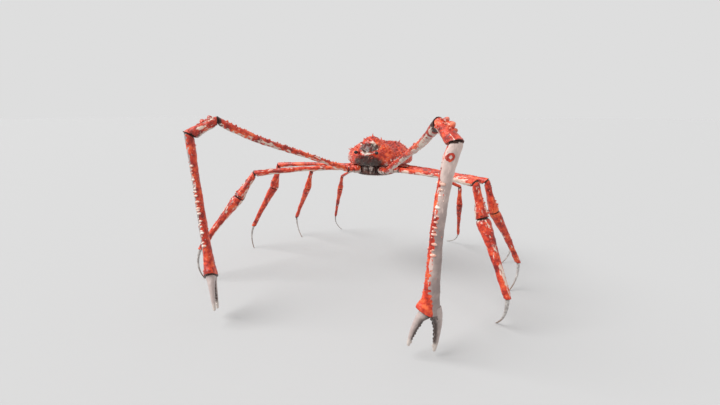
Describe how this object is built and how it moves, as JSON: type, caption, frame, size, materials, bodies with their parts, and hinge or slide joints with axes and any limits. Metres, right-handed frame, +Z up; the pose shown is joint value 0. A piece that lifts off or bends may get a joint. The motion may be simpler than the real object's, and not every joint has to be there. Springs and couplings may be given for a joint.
{
  "type": "japanese spider crab",
  "caption": "Life-size Japanese spider crab standing on its walking legs, long claws reaching down in front; a still model with its spiny shell plates, eyes and feelers.",
  "frame": {"origin": "on the floor, under the middle of the box round the whole crab", "axes": "+Z up; the crab faces -Y, and its left side is towards +X"},
  "size_m": [1.6108, 1.53, 0.8391],
  "materials": {
    "red_shell": "orange-red shell with cream streaks and spots, satin to glossy",
    "pale_shell": "pale grey-pink underside shell, satin",
    "claw_finger": "pale claw finger with a dark brown biting edge, satin",
    "needle": "pale grey horny leg tip, satin",
    "eye": "black glossy eye on a short pale stalk"
  },
  "bodies": {
    "root": {"abdomen": "pale_shell", "antenna_left": "pale_shell", "antenna_right": "pale_shell", "carapace": "red_shell", "claw_left_carpus": "red_shell", "claw_left_coxa": "red_shell", "claw_left_dactylus": "claw_finger", "claw_left_merus": "red_shell", "claw_left_palm": "red_shell", "claw_right_carpus": "red_shell", "claw_right_coxa": "red_shell", "claw_right_dactylus": "claw_finger", "claw_right_merus": "red_shell", "claw_right_palm": "red_shell", "eye_left": "eye", "eye_right": "eye", "leg_1_left_carpus": "red_shell", "leg_1_left_coxa": "red_shell", "leg_1_left_dactylus": "needle", "leg_1_left_merus": "red_shell", "leg_1_left_propodus": "red_shell", "leg_1_right_carpus": "red_shell", "leg_1_right_coxa": "red_shell", "leg_1_right_dactylus": "needle", "leg_1_right_merus": "red_shell", "leg_1_right_propodus": "red_shell", "leg_2_left_carpus": "red_shell", "leg_2_left_coxa": "red_shell", "leg_2_left_dactylus": "needle", "leg_2_left_merus": "red_shell", "leg_2_left_propodus": "red_shell", "leg_2_right_carpus": "red_shell", "leg_2_right_coxa": "red_shell", "leg_2_right_dactylus": "needle", "leg_2_right_merus": "red_shell", "leg_2_right_propodus": "red_shell", "leg_3_left_carpus": "red_shell", "leg_3_left_coxa": "red_shell", "leg_3_left_dactylus": "needle", "leg_3_left_merus": "red_shell", "leg_3_left_propodus": "red_shell", "leg_3_right_carpus": "red_shell", "leg_3_right_coxa": "red_shell", "leg_3_right_dactylus": "needle", "leg_3_right_merus": "red_shell", "leg_3_right_propodus": "red_shell", "leg_4_left_carpus": "red_shell", "leg_4_left_coxa": "red_shell", "leg_4_left_dactylus": "needle", "leg_4_left_merus": "red_shell", "leg_4_left_propodus": "red_shell", "leg_4_right_carpus": "red_shell", "leg_4_right_coxa": "red_shell", "leg_4_right_dactylus": "needle", "leg_4_right_merus": "red_shell", "leg_4_right_propodus": "red_shell", "maxilliped_left": "pale_shell", "maxilliped_right": "pale_shell", "sternum": "pale_shell"}
  },
  "joints": []
}
